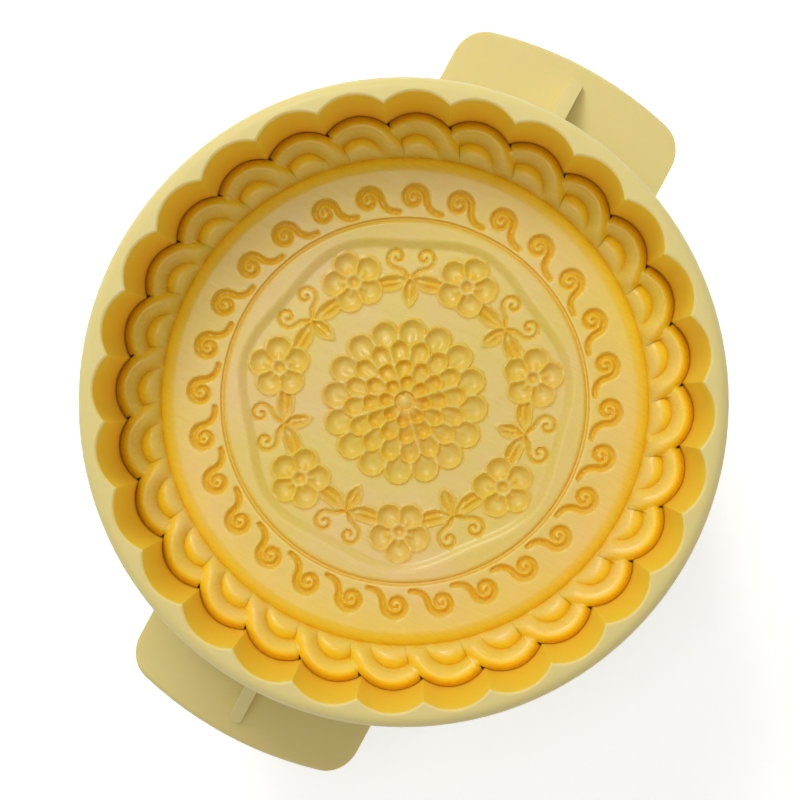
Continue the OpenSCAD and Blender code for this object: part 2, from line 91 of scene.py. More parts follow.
def linear(hex_code: str, alpha: float = 1.0) -> tuple[float, float, float, float]:
    """Turns an sRGB hex colour into a linear one.

    Args:
        hex_code: Six hex digits, with or without a leading hash.
        alpha: Opacity to put last.

    Returns:
        Linear red, green, blue and alpha.
    """
    digits = hex_code.lstrip("#")
    parts = [int(digits[i : i + 2], 16) / 255 for i in (0, 2, 4)]
    red, green, blue = (p / 12.92 if p <= 0.04045 else ((p + 0.055) / 1.055) ** 2.4 for p in parts)
    return red, green, blue, alpha


def add_node(
    tree: Tree, kind: str, inputs: dict[str | int, object] | None = None, **settings: object
) -> bpy.types.Node:
    """Adds a shader node with its settings, values and links.

    Args:
        tree: The node tree that takes the node.
        kind: The node's type without its ShaderNode prefix.
        inputs: Sockets by name or number, each with a value or with the output that feeds it.
        **settings: The node's own properties.

    Returns:
        The new node.
    """
    node = tree.nodes.new("ShaderNode" + kind)
    for name, value in settings.items():
        setattr(node, name, value)
    for key, value in (inputs or {}).items():
        if isinstance(value, Socket):
            tree.links.new(value, node.inputs[key])
        else:
            node.inputs[key].default_value = value
    return node


def new_material(name: str) -> tuple[bpy.types.Material, Tree]:
    """Starts an empty node material.

    Args:
        name: The material's name.

    Returns:
        The material and its empty node tree.
    """
    material = bpy.data.materials.new(name)
    material.use_nodes = True
    material.node_tree.nodes.clear()
    return material, material.node_tree


# ---------- Finishes ----------


@dataclass(frozen=True)
class Relief:
    """Noise in a surface: how wide and how high its grains are, how strong it is, and its detail."""

    size_mm: float
    height_mm: float
    strength: float
    detail: float = 2.0

    def lay(self, tree: Tree, place: Socket, under: Socket | None = None) -> tuple[Socket, Socket]:
        """Adds the noise and its bump.

        Args:
            tree: The material's node tree.
            place: Coordinates of the noise.
            under: Normal of what lies below it, if anything does.

        Returns:
            The noise and the bumped normal.
        """
        grains = {"Vector": place, "Scale": 1 / (self.size_mm * MM), "Detail": self.detail}
        noise = add_node(tree, "TexNoise", grains).outputs["Fac"]
        bump = {"Height": noise, "Strength": self.strength, "Distance": self.height_mm * MM}
        if under:
            bump["Normal"] = under
        return noise, add_node(tree, "Bump", bump).outputs["Normal"]


@dataclass(frozen=True, kw_only=True)
class CreamPlastic:
    """Food-grade ABS in cream yellow.

    Light goes a few millimetres into it and comes back warmer, so edges and inner corners look
    soft, and broad faces creamy.
    """

    name: str
    colour: str
    # Deeper colour: random clouds in the mouldings, painted shade in the hollows of the cut face
    deep: str
    roughness: float
    rough_drift: float
    ior: float = 1.53
    shine: float = 0.25
    glow: float
    glow_reach_mm: float
    glow_spread: tuple[float, float, float] = (1.0, 0.5, 0.2)

    def coat(self, tree: Tree, tint: Socket, pattern: Socket, normal: Socket) -> None:
        """Adds the plastic's shader.

        Args:
            tree: The material's node tree.
            tint: Its colour.
            pattern: Noise that the roughness drifts with.
            normal: Its bumped normal.
        """
        span = {"From Min": NOISE_LOW, "From Max": NOISE_HIGH}
        ends = {"To Min": self.roughness - self.rough_drift, "To Max": self.roughness + self.rough_drift}
        rough = add_node(tree, "MapRange", {"Value": pattern, **span, **ends})
        shader = add_node(
            tree,
            "BsdfPrincipled",
            {
                "Base Color": tint,
                "Roughness": rough.outputs["Result"],
                "IOR": self.ior,
                "Specular IOR Level": self.shine,
                "Subsurface Weight": self.glow,
                "Subsurface Radius": self.glow_spread,
                "Subsurface Scale": self.glow_reach_mm * MM,
                "Normal": normal,
            },
        )
        add_node(tree, "OutputMaterial", {"Surface": shader.outputs["BSDF"]})


@dataclass(frozen=True)
class PaintedBoreShade:
    """Painted shade on the wall of the barrel's bore.

    It is painted a deeper yellow than the open faces, and warmer the lower it lies, where the bore is shaded
    and lit by light bounced off its yellow walls.
    """

    share: float = 0.82
    mouth_shade_colour: str = "FCDA14"
    stamp_shade_colour: str = "FAC808"
    radius_mm: float = 80.0
    foot_mm: float = 80.9
    stamp_mm: float = 104.0
    mouth_mm: float = 140.7
    # Where the painted shade has gone and where it is whole, past the radius, the mouth and the foot
    past_radius_mm: tuple[float, float] = (0.6, 0.1)
    past_mouth_mm: tuple[float, float] = (-0.2, -1.4)
    past_foot_mm: tuple[float, float] = (-0.6, -0.3)

    def build(self, tree: Tree, place: Socket) -> tuple[Socket, Socket]:
        """Adds the nodes that tell the bore's wall from the other faces.

        Args:
            tree: The material's node tree.
            place: Object coordinates.

        Returns:
            The share of the bore's painted shade, 0 outside it, and its colour.
        """
        axes = add_node(tree, "SeparateXYZ", {"Vector": place}).outputs
        level = add_node(tree, "CombineXYZ", {"X": axes["X"], "Y": axes["Y"]}).outputs["Vector"]
        radius = add_node(tree, "VectorMath", {0: level}, operation="LENGTH").outputs["Value"]
        share: Socket | float = self.share
        for value, size_mm, (gone_mm, whole_mm) in (
            (radius, self.radius_mm, self.past_radius_mm),
            (axes["Z"], self.mouth_mm, self.past_mouth_mm),
            (axes["Z"], self.foot_mm, self.past_foot_mm),
        ):
            span = {"From Min": (size_mm + gone_mm) * MM, "From Max": (size_mm + whole_mm) * MM}
            bore_shade_mask = add_node(tree, "MapRange", {"Value": value, **span}).outputs["Result"]
            share = add_node(tree, "Math", {0: share, 1: bore_shade_mask}, operation="MULTIPLY").outputs["Value"]
        span = {"From Min": self.mouth_mm * MM, "From Max": self.stamp_mm * MM}
        sunk = add_node(tree, "MapRange", {"Value": axes["Z"], **span})
        colours = {"A": linear(self.mouth_shade_colour), "B": linear(self.stamp_shade_colour)}
        shade_colour = add_node(tree, "Mix", {"Factor": sunk.outputs["Result"], **colours}, data_type="RGBA")
        return share, shade_colour.outputs["Result"]


@dataclass(frozen=True, kw_only=True)
class MouldedPlastic(CreamPlastic):
    """The ABS as injection-moulded in a spark-eroded tool.

    The tool leaves a fine satin grain, broad faces sink a little as they cool, and the flow of the
    melt leaves slow clouds, a shade deeper here and there.
    """

    # Painted shade on the wall of the barrel's bore, where there is one
    bore_shade: PaintedBoreShade | None = None
    roughness: float = 0.42
    rough_drift: float = 0.05
    glow: float = 0.5
    glow_reach_mm: float = 3.0
    flow_mm: float = 32.0
    flow_share: float = 0.05
    # The grain is drawn coarser than the real 0.1 mm so that it shows
    grain: Relief = Relief(0.35, 0.03, 0.12)
    sink: Relief = Relief(24.0, 0.25, 0.35, 1.0)
    edge_round_mm: float = 0.35

    def tint(self, tree: Tree, place: Socket, flow: Socket) -> Socket:
        """Mixes the plastic's colour, with painted shade on the bore's wall where there is a bore.

        Args:
            tree: The material's node tree.
            place: Object coordinates.
            flow: Noise of the melt's flow.

        Returns:
            The colour's output.
        """
        drift = {"To Min": -self.flow_share, "To Max": self.flow_share}
        share = add_node(tree, "MapRange", {"Value": flow, **drift}).outputs["Result"]
        deep: Socket | tuple[float, ...] = linear(self.deep)
        # Painted shade: the bore's wall takes the deeper, warmer colour
        if self.bore_shade:
            bore_shade_mask, deep = self.bore_shade.build(tree, place)
            both = add_node(tree, "Math", {0: bore_shade_mask, 1: share}, operation="ADD", use_clamp=True)
            share = both.outputs["Value"]
        mix = {"Factor": share, "A": linear(self.colour), "B": deep}
        return add_node(tree, "Mix", mix, data_type="RGBA").outputs["Result"]

    def build(self) -> bpy.types.Material:
        """Builds the material.

        Returns:
            The node material.
        """
        material, tree = new_material(self.name)
        place = add_node(tree, "TexCoord").outputs["Object"]
        clouds = {"Scale": 1 / (self.flow_mm * MM), "Detail": 3.0, "Roughness": 0.55}
        flow = add_node(tree, "TexNoise", {"Vector": place, **clouds}).outputs["Fac"]
        normal = add_node(tree, "Bevel", {"Radius": self.edge_round_mm * MM}, samples=6).outputs["Normal"]
        for relief in (self.grain, self.sink):
            _, normal = relief.lay(tree, place, normal)
        self.coat(tree, self.tint(tree, place, flow), flow, normal)
        return material


@dataclass(frozen=True, kw_only=True)
class MachinedPlastic(CreamPlastic):
    """The ABS as cut by a small ball mill.

    The cutter leaves faint parallel strokes, which draw the soft light out into short streaks.
    """

    # Pinker colour of the slow clouds: partly random tone, partly painted sheen
    tone_and_sheen: str
    # Colour of the painted shade in narrow grooves
    groove: str
    roughness: float = 0.28
    rough_drift: float = 0.06
    glow: float = 0.6
    glow_reach_mm: float = 4.0
    flow_mm: float = 26.0
    tone_and_sheen_from: float = 0.42
    tone_and_sheen_to: float = 0.68
    # Painted shade: how far away a wall still closes a dish or a groove, and how open a point is where the
    # painted shade is deepest
    dish_shade_mm: float = 30.0
    dish_shade_open: float = 0.4
    groove_shade_mm: float = 3.0
    groove_shade_open: float = 0.35
    unshaded_open: float = 0.92
    stroke: Relief = Relief(0.7, 0.04, 0.3)
    stroke_stretch: float = 12.0
    stroke_turn_deg: float = 38.0
    sink: Relief = Relief(14.0, 0.3, 0.5, 1.0)

    def paint_shade_in_hollows(self, tree: Tree, tint: Socket) -> Socket:
        """Paints shade into the hollows: the colour deepens where ambient occlusion finds walls close by.

        Args:
            tree: The material's node tree.
            tint: Colour of the open faces.

        Returns:
            The colour's output.
        """
        # Painted shade: wide dishes darken by far walls, narrow grooves by near ones
        for reach_mm, least_open, colour in (
            (self.dish_shade_mm, self.dish_shade_open, self.deep),
            (self.groove_shade_mm, self.groove_shade_open, self.groove),
        ):
            sky = add_node(tree, "AmbientOcclusion", {"Distance": reach_mm * MM}, samples=6).outputs["AO"]
            span = {"From Min": self.unshaded_open, "From Max": least_open}
            closed = add_node(tree, "MapRange", {"Value": sky, **span})
            mix = {"Factor": closed.outputs["Result"], "A": tint, "B": linear(colour)}
            tint = add_node(tree, "Mix", mix, data_type="RGBA").outputs["Result"]
        return tint

    def build(self) -> bpy.types.Material:
        """Builds the material.

        Returns:
            The node material.
        """
        material, tree = new_material(self.name)
        place = add_node(tree, "TexCoord").outputs["Object"]
        # Slow clouds, a shade pinker here and there: partly random tone of the melt, partly painted sheen
        clouds = {"Scale": 1 / (self.flow_mm * MM), "Detail": 3.0, "Roughness": 0.55}
        flow = add_node(tree, "TexNoise", {"Vector": place, **clouds}).outputs["Fac"]
        span = {"From Min": self.tone_and_sheen_from, "From Max": self.tone_and_sheen_to}
        pinker_tone_and_sheen = add_node(tree, "MapRange", {"Value": flow, **span}).outputs["Result"]
        mix = {"Factor": pinker_tone_and_sheen, "A": linear(self.colour), "B": linear(self.tone_and_sheen)}
        tint = self.paint_shade_in_hollows(tree, add_node(tree, "Mix", mix, data_type="RGBA").outputs["Result"])
        # Cutter strokes: thin noise, stretched along the stroke
        stretch = {
            "Rotation": (0.0, 0.0, math.radians(self.stroke_turn_deg)),
            "Scale": (1.0, 1 / self.stroke_stretch, 1.0),
        }
        turned = add_node(tree, "Mapping", {"Vector": place, **stretch}).outputs["Vector"]
        strokes, fine = self.stroke.lay(tree, turned)
        _, broad = self.sink.lay(tree, place, fine)
        self.coat(tree, tint, strokes, broad)
        return material


@dataclass(frozen=True)
class SteelFinish:
    """Mild or spring steel, either zinc plated or bright drawn.

    Zinc plate is grey with a faint bluish and straw cast; drawn wire has fine lines along it.
    """

    name: str
    colour: str
    cast: str
    roughness: float
    grain_mm: float
    grain_h_mm: float = 0.02
    cloud_mm: float = 4.0

    def build(self) -> bpy.types.Material:
        """Builds the material.

        Returns:
            The node material.
        """
        material, tree = new_material(self.name)
        place = add_node(tree, "TexCoord").outputs["Object"]
        clouds = {"Vector": place, "Scale": 1 / (self.cloud_mm * MM), "Detail": 3.0}
        cloud = add_node(tree, "TexNoise", clouds).outputs["Fac"]
        mix = {"Factor": cloud, "A": linear(self.colour), "B": linear(self.cast)}
        tint = add_node(tree, "Mix", mix, data_type="RGBA").outputs["Result"]
        grain, normal = Relief(self.grain_mm, self.grain_h_mm, 0.15).lay(tree, place)
        span = {"To Min": self.roughness - 0.08, "To Max": self.roughness + 0.1}
        rough = add_node(tree, "MapRange", {"Value": grain, **span})
        shader = add_node(
            tree,
            "BsdfPrincipled",
            {
                "Base Color": tint,
                "Metallic": 1.0,
                "Roughness": rough.outputs["Result"],
                "Normal": normal,
            },
        )
        add_node(tree, "OutputMaterial", {"Surface": shader.outputs["BSDF"]})
        return material


# ---------- Meshes ----------


@dataclass
class MeshDraft:
    """Points and faces of a mesh while it is being put together, in millimetres."""

    points: list[np.ndarray] = field(default_factory=list)
    faces: list[tuple[int, ...]] = field(default_factory=list)
    count: int = 0

    def add_points(self, points: np.ndarray) -> int:
        """Adds points.

        Args:
            points: An array of rows of x, y and z.

        Returns:
            The number of the first of them.
        """
        first = self.count
        self.points.append(np.asarray(points, float).reshape(-1, 3))
        self.count += len(self.points[-1])
        return first

    def add_ring(self, points: np.ndarray) -> list[int]:
        """Adds points and gives the numbers of all of them.

        Args:
            points: An array of rows of x, y and z.

        Returns:
            Their numbers in order.
        """
        first = self.add_points(points)
        return list(range(first, self.count))

    def wall(self, upper: list[int], lower: list[int]) -> None:
        """Joins two closed rings of as many points each, both counter-clockwise seen from above.

        Args:
            upper: Numbers of the one ring's points.
            lower: Numbers of the other ring's points.
        """
        for i, (top, foot) in enumerate(zip(upper, lower)):
            n = (i + 1) % len(upper)
            self.faces.append((top, foot, lower[n], upper[n]))

    def zip_rings(
        self, inner: list[int], outer: list[int], inner_at: list[float], outer_at: list[float]
    ) -> None:
        """Joins two closed rings of any number of points, both counter-clockwise from about the same angle.

        Args:
            inner: Numbers of the inner ring's points.
            outer: Numbers of the outer ring's points.
            inner_at: Where round the turn each of the inner ring's edges is taken.
            outer_at: The same for the outer ring's edges.
        """
        i = j = 0
        n, m = len(inner), len(outer)
        while i < n or j < m:
            if j >= m or (i < n and inner_at[i] <= outer_at[j]):
                self.faces.append((inner[i % n], outer[j % m], inner[(i + 1) % n]))
                i += 1
            else:
                self.faces.append((inner[i % n], outer[j % m], outer[(j + 1) % m]))
                j += 1

    def zip_even(self, inner: list[int], outer: list[int]) -> None:
        """Joins two rings whose points are spread evenly."""
        n, m = len(inner), len(outer)
        self.zip_rings(inner, outer, [(i + 0.5) * m for i in range(n)], [(j + 0.5) * n for j in range(m)])

    def zip_uneven(self, inner: list[int], outer: list[int]) -> None:
        """Joins two rings whose points aren't spread evenly.

        Args:
            inner: Numbers of the inner ring's points.
            outer: Numbers of the outer ring's points.
        """
        points = np.concatenate(self.points)
        ends = []
        for ring in (inner, outer):
            angle = np.unwrap(np.arctan2(points[ring, 1], points[ring, 0]))
            angle = angle - TURN * round(angle[0] / TURN)
            ends.append(np.append(angle[1:], angle[0] + TURN).tolist())
        self.zip_rings(inner, outer, *ends)

    def build(self, name: str, crease_deg: float = 35.0) -> bpy.types.Object:
        """Makes the Blender object.

        Args:
            name: The object's name.
            crease_deg: Angle between faces above which an edge stays sharp.

        Returns:
            The object, linked to the scene.
        """
        mesh = bpy.data.meshes.new(name)
        mesh.from_pydata((np.concatenate(self.points) * MM).tolist(), [], self.faces)
        mesh.validate()
        mesh.shade_smooth()
        mesh.set_sharp_from_angle(angle=math.radians(crease_deg))
        piece = bpy.data.objects.new(name, mesh)
        bpy.context.scene.collection.objects.link(piece)
        return piece


def ring_points(radius: np.ndarray | float, angles: np.ndarray, height: np.ndarray | float) -> np.ndarray:
    """Points of a ring about the press's axis.

    Args:
        radius: One radius, or one for each angle, in millimetres.
        angles: Angles in radians.
        height: One height, or one for each angle, in millimetres.

    Returns:
        Rows of x, y and z.
    """
    return np.stack([radius * np.cos(angles), radius * np.sin(angles), height + 0 * angles], axis=-1)


def even_angles(count: int) -> np.ndarray:
    """Angles of points spread evenly round a turn from 0."""
    return np.arange(count) * TURN / count


def dress(piece: bpy.types.Object, material: bpy.types.Material) -> None:
    """Gives a piece one material all over.

    Args:
        piece: A built piece or a CAD node.
        material: Its material.
    """
    if not piece.data.materials:
        piece.data.materials.append(material)
    for place in piece.material_slots:
        place.link = "OBJECT"
        place.material = material


# ---------- Stamp ----------


@dataclass
class FieldPattern:
    """The pattern sunk into the stamp's field, by depths in millimetres about the press's axis.

    A chrysanthemum of four rows of petals fills the middle. Round it lies a wreath of plum blossoms
    with leaves and scrolled stems in a lobed dish, and running scrolls go along the edge.
    """

    # For each row: its petals, where they come out from under the next row, their tips, their depth
    rows: tuple[tuple[int, float, float, float], ...] = (
        (16, 13.0, 23.0, 2.3),
        (16, 9.0, 17.2, 2.5),
        (12, 5.0, 12.0, 2.6),
        (8, 2.5, 7.4, 2.5),
    )
    petal_w: float = 0.99
    keel_w: float = 0.75
    keel_h: float = 0.16
    button_r: float = 2.7
    button_depth: float = 1.3
    button_dish: float = 0.9
    flower_sunk: float = 0.2
    blossoms: int = 7
    blossom_ring: float = 36.2
    blossom_r: float = 8.6
    blossom_depth: float = 2.3
    blossom_sunk: float = 0.35
    heart_r: float = 1.9
    heart_depth: float = 1.0
    stamen_w: float = 0.62
    stamen_h: float = 0.75
    leaf_depth: float = 2.0
    leaf_sunk: float = 0.4
    vein_w: float = 0.55
    stem: tuple[tuple[float, float], ...] = ((33.0, 0.2), (35.0, 0.9), (36.3, 2.2))
    stem_scroll: tuple[float, float] = (40.0, 3.9)
    stem_scroll_r: float = 3.1
    stem_depth: float = 1.45
    dish_r: float = 47.6
    dish_lobe: float = 2.4
    dish_depth: float = 1.2
    dish_wall_w: float = 3.0
    waves: int = 28
    wave_ring: float = 56.6
    wave_r: float = 3.5
    line_w: float = 2.3
    rail_r: float = 50.6
    rail_w: float = 1.5
    rail_depth: float = 0.8
    # Width of the cutter's soft edge between two motifs
    soft_w: float = 0.7

    @staticmethod
    def soft_step(value: np.ndarray) -> np.ndarray:
        """Rises smoothly from 0 to 1 while the value goes from 0 to 1."""
        t = np.clip(value, 0, 1)
        return t * t * (3 - 2 * t)

    @staticmethod
    def groove(distance: np.ndarray, width: np.ndarray | float, depth: np.ndarray | float) -> np.ndarray:
        """Depth of a round-bottomed line at a distance from its middle."""
        t = np.clip(np.abs(2 * distance / width), 0, 1)
        return depth * (1 - t * t) ** 1.3

    @staticmethod
    def rib(across: np.ndarray, width: float) -> np.ndarray:
        """Height from 0 to 1 of a thin rib at a distance from its middle."""
        return np.exp(-((across / width) ** 2))

    @staticmethod
    def bowl(inside: np.ndarray, reach: float, power: float) -> np.ndarray:
        """Depth from 0 to 1 of a bowl whose wall levels out at a reach inside its outline."""
        return 1 - np.clip(1 - inside / reach, 0, 1) ** power

    @staticmethod
    def folded(angle: np.ndarray, count: int, turn: float = 0.0) -> np.ndarray:
        """Angle from the middle of the nearest of a number of equal sectors."""
        step = TURN / count
        return (angle - turn + step / 2) % step - step / 2

    def laid_over(self, below: np.ndarray, layer: np.ndarray, inside: np.ndarray) -> np.ndarray:
        """Lays one motif over what lies below it, with an edge as soft as the cutter leaves.

        Args:
            below: Depths so far.
            layer: Depths of the motif.
            inside: How far inside the motif's outline each point lies.

        Returns:
            Depths of both.
        """
        share = self.soft_step((inside + self.soft_w / 2) / self.soft_w)
        return below * (1 - share) + layer * share

    @staticmethod
    def to_lines(x: np.ndarray, y: np.ndarray, line: np.ndarray) -> tuple[np.ndarray, np.ndarray]:
        """Distance to a line of straight pieces, and how far along it the nearest point is.

        Args:
            x: First coordinates.
            y: Second coordinates.
            line: Rows of x and y along the line.

        Returns:
            The distance, and the share of the line's length from 0 to 1.
        """
        best = np.full(x.shape, np.inf)
        share = np.zeros(x.shape)
        steps = np.linalg.norm(np.diff(line, axis=0), axis=1)
        total = steps.sum()
        gone = 0.0
        for (ax, ay), (bx, by), step in zip(line[:-1], line[1:], steps):
            dx, dy = bx - ax, by - ay
            t = np.clip(((x - ax) * dx + (y - ay) * dy) / (step * step), 0, 1)
            d = np.hypot(x - ax - t * dx, y - ay - t * dy)
            near = d < best
            best = np.where(near, d, best)
            share = np.where(near, (gone + t * step) / total, share)
            gone += step
        return best, share

    @staticmethod
    def spiral(x0: float, y0: float, r: float, turn: float, turns: float, hand: int) -> np.ndarray:
        """Line of a scroll that winds in to its middle.

        Args:
            x0: The middle's first coordinate.
            y0: The middle's second coordinate.
            r: Radius at which the scroll starts.
            turn: Angle at which it starts.
            turns: Number of turns.
            hand: 1 to wind counter-clockwise, -1 clockwise.

        Returns:
            Rows of x and y.
        """
        t = np.linspace(0, 1, 40)
        a = turn + hand * TURN * turns * t
        reach = r * (1 - 0.86 * t)
        return np.stack([x0 + reach * np.cos(a), y0 + reach * np.sin(a)], axis=-1)

    def petal_row(
        self, r: np.ndarray, angle: np.ndarray, count: int, turn: float, foot: float, tip: float, deep: float
    ) -> tuple[np.ndarray, np.ndarray]:
        """One row of long round-ended petals about the axis.

        Args:
            r: Distances from the axis.
            angle: Angles about it.
            count: Number of petals.
            turn: Turn of the row.
            foot: Radius at which the petals come out from under the next row.
            tip: Radius of their tips.
            deep: Depth near the tip.

        Returns:
            The depth, and how far inside the row a point lies.
        """
        a = self.folded(angle, count, turn)
        along, across = r * np.cos(a), np.abs(r * np.sin(a))
        sine, cosine = math.sin(math.pi / count), math.cos(math.pi / count)
        half = tip * sine / (1 + sine) * self.petal_w
        centre = tip - half
        # The sides run straight to the axis, the end is round
        side = along * sine * self.petal_w - across * cosine
        end = half - np.hypot(along - centre, across)
        inside = np.where(along < centre * cosine**2, side, end)
        # Petals rise towards their feet, where the next row lies over them
        fall = 0.55 + 0.45 * self.soft_step((r - foot) / (tip - foot - half / 2))
        keel = self.keel_h * self.rib(across, self.keel_w) * self.soft_step((centre - along) / 2)
        return deep * fall * (self.bowl(inside, 0.8 * half, 2.2) - keel), inside

    def flower(self, r: np.ndarray, angle: np.ndarray) -> tuple[np.ndarray, np.ndarray]:
        """The chrysanthemum in the middle.

        Args:
            r: Distances from the axis.
            angle: Angles about it.

        Returns:
            The depth, and how far inside the flower a point lies.
        """
        depth, reach = np.zeros(r.shape), np.full(r.shape, -np.inf)
        for i, (count, foot, tip, deep) in enumerate(self.rows):
            layer, inside = self.petal_row(r, angle, count, (i % 2) * math.pi / count, foot, tip, deep)
            depth = self.laid_over(depth, layer, inside)
            reach = np.maximum(reach, inside)
        button = self.button_depth + self.button_dish * (r / 2.6) ** 2
        return self.laid_over(depth, button, self.button_r - r) + self.flower_sunk, reach

    def blossom(self, x: np.ndarray, y: np.ndarray) -> tuple[np.ndarray, np.ndarray]:
        """One five-petalled blossom about its own middle.

        Args:
            x: Distance outwards from the blossom's middle.
            y: Distance to the side.

        Returns:
            The depth, and how far inside the blossom a point lies.
        """
        rho, petals = np.hypot(x, y), 5
        f = self.folded(np.arctan2(y, x), petals)
        px, py = rho * np.cos(f), rho * np.abs(np.sin(f))
        centre, radius = 0.56 * self.blossom_r, 0.44 * self.blossom_r
        inside = radius - np.hypot(px - centre, py)
        # A crease parts each petal from the next
        crease = self.soft_step((rho * np.sin(math.pi / petals - np.abs(f)) + 0.15) / 1.1)
        petal = self.blossom_depth * self.bowl(inside, 0.85 * radius, 2.4) * (0.45 + 0.55 * crease)
        depth = self.laid_over(np.zeros(x.shape), petal, inside)
        # Stamens stand as short ribs round the heart
        ribs = self.rib(py, self.stamen_w) * self.soft_step((4.6 - px) / 1.2)
        ribs = ribs * self.soft_step((px - 1.0) / 0.8)
        depth = np.maximum(depth - self.stamen_h * ribs * (depth > 0.6), 0)
        button = self.heart_depth + 1.2 * self.soft_step((self.heart_r - rho) / 1.4)
        depth = self.laid_over(depth, button, self.heart_r + self.soft_w / 2 - rho)
        return depth + self.blossom_sunk, np.maximum(inside, self.heart_r - rho)

    def leaf(
        self, x: np.ndarray, y: np.ndarray, length: float, width: float, bend: float
    ) -> tuple[np.ndarray, np.ndarray]:
        """One pointed leaf that starts at the middle and runs along x.

        Args:
            x: Distance along the leaf.
            y: Distance to its side.
            length: The leaf's length.
            width: Its width.
            bend: Its sideways bow as a share of its length.

        Returns:
            The depth, and how far inside the leaf a point lies.
        """
        y = y - bend * np.sin(np.clip(x / length, 0, 1) * math.pi) * length
        bow = (length**2 / 4 + width**2 / 4) / width
        inside = bow - np.hypot(x - length / 2, np.abs(y) + bow - width / 2)
        vein = 0.45 * self.rib(y, self.vein_w) * self.soft_step((length - 1.2 - x) / 2)
        return self.leaf_depth * self.bowl(inside, 0.42 * width, 2.0) * (1 - vein) + self.leaf_sunk, inside

    def wreath(self, depth: np.ndarray, r: np.ndarray, angle: np.ndarray) -> np.ndarray:
        """Lays the wreath of blossoms, leaves and scrolled stems over what lies below it.

        Args:
            depth: Depths so far.
            r: Distances from the axis.
            angle: Angles about it.

        Returns:
            Depths with the wreath.
        """
        between = self.folded(angle, self.blossoms, math.pi / self.blossoms)
        gx, gy = r * np.cos(between), r * np.sin(between)
        x0, y0 = self.stem_scroll
        for side in (-1, 1):
            stem = np.array(self.stem) * (1, side)
            scroll = self.spiral(x0, side * y0, self.stem_scroll_r, math.pi, 1.2, -side)
            far, along = self.to_lines(gx, gy, np.concatenate([stem, scroll]))
            line = self.groove(far, self.line_w - 0.7 * along, self.stem_depth)
            depth = np.maximum(depth, depth * 0.4 + line)
        # One leaf where the stems meet, and two from under each blossom
        depth = self.laid_over(depth, *self.leaf(gx - 26.2, gy, 8.4, 3.9, 0.0))
        lobe = self.folded(angle, self.blossoms)
        bx, by = r * np.cos(lobe) - self.blossom_ring, r * np.sin(lobe)
        cosine, sine = math.cos(math.radians(104)), math.sin(math.radians(104))
        for side in (-1, 1):
            lx, ly = bx + 2.5, side * by - 4.0
            leaf = self.leaf(lx * cosine + ly * sine, -lx * sine + ly * cosine, 11.0, 4.6, 0.05)
            depth = self.laid_over(depth, *leaf)
        return self.laid_over(depth, *self.blossom(bx, by))

    def running_scrolls(self, depth: np.ndarray, r: np.ndarray, angle: np.ndarray) -> np.ndarray:
        """Sinks the scrolls along the edge, and the plain line inside them.

        Args:
            depth: Depths so far.
            r: Distances from the axis.
            angle: Angles about it.

        Returns:
            Depths with both.
        """
        half = math.pi * self.wave_ring / self.waves
        u, v = self.folded(angle, self.waves) * self.wave_ring, r - self.wave_ring
        # Each scroll's tail comes out from under the scroll before
        t = np.linspace(0, 1, 8)[:-1, None]
        low = np.array([-half - 2.2, -3.9])
        knee = np.array([-self.wave_r - 0.6, -4.1])
        start = np.array([-self.wave_r, 0.0])
        tail = (1 - t) ** 2 * low + 2 * t * (1 - t) * knee + t * t * start
        line = np.concatenate([tail, self.spiral(0.0, 0.0, self.wave_r, math.pi, 1.45, -1)])
        for shift in (0.0, 2 * half):
            far, along = self.to_lines(u - shift, v, line)
            wide = self.line_w * (0.55 + 0.45 * np.sin(np.clip(0.15 + 0.85 * along, 0, 1) * math.pi))
            depth = np.maximum(depth, self.groove(far, wide, 0.65 * wide))
        return np.maximum(depth, self.groove(r - self.rail_r, self.rail_w, self.rail_depth))

    def depth(self, x: np.ndarray, y: np.ndarray) -> np.ndarray:
        """Depth of the whole pattern under the field.

        Args:
            x: Distances along X, in millimetres.
            y: Distances along Y, in millimetres.

        Returns:
            Depths, 0 where the field is flat.
        """
        r, angle = np.hypot(x, y), np.arctan2(y, x)
        lobe = self.folded(angle, self.blossoms)
        edge = self.dish_r - self.dish_lobe * np.sin(lobe * self.blossoms / 2) ** 2
        depth = self.wreath(self.dish_depth * self.soft_step((edge - r) / self.dish_wall_w), r, angle)
        return self.running_scrolls(self.laid_over(depth, *self.flower(r, angle)), r, angle)


